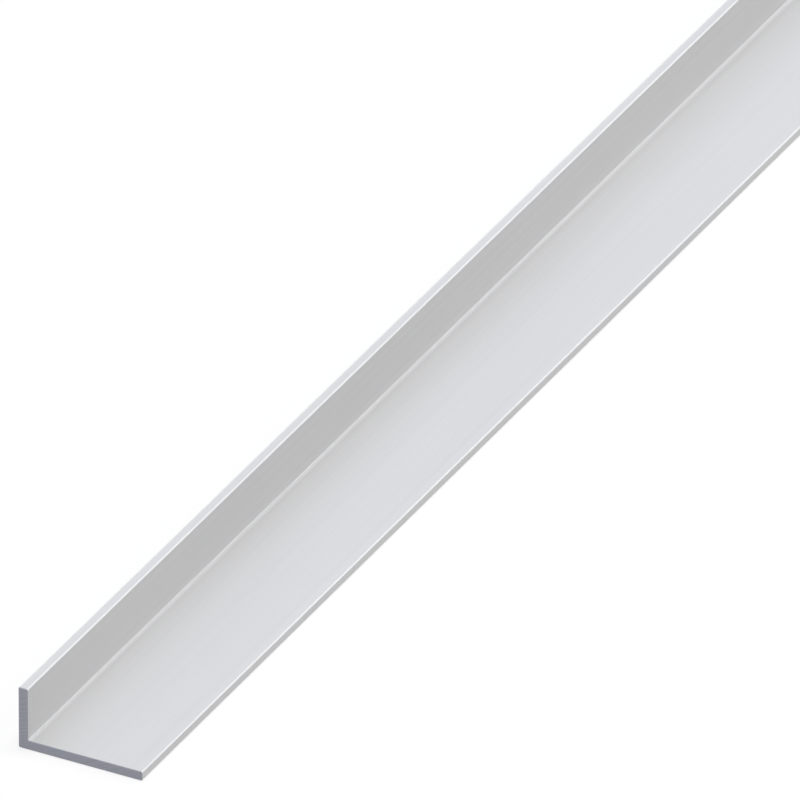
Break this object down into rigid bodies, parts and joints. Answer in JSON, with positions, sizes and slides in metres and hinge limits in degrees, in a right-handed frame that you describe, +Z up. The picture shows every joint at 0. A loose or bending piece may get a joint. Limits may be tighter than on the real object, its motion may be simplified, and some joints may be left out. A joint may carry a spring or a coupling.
{
  "type": "metal angle section",
  "caption": "Unequal angle: straight extruded aluminium stock with a wide flat leg and a short upright leg meeting in a small root fillet, sawn square at both ends.",
  "frame": {"origin": "middle of the wide leg's underside: half the wide leg's width and half the length", "axes": "+X across the wide leg from the heel to the toe, +Y along the length, +Z up, the way the short leg stands"},
  "size_m": [0.04, 1, 0.02],
  "materials": {
    "anodised_aluminium": "satin natural anodised, with fine lines along the length"
  },
  "bodies": {
    "root": {"angle_section": "anodised_aluminium"}
  },
  "joints": []
}
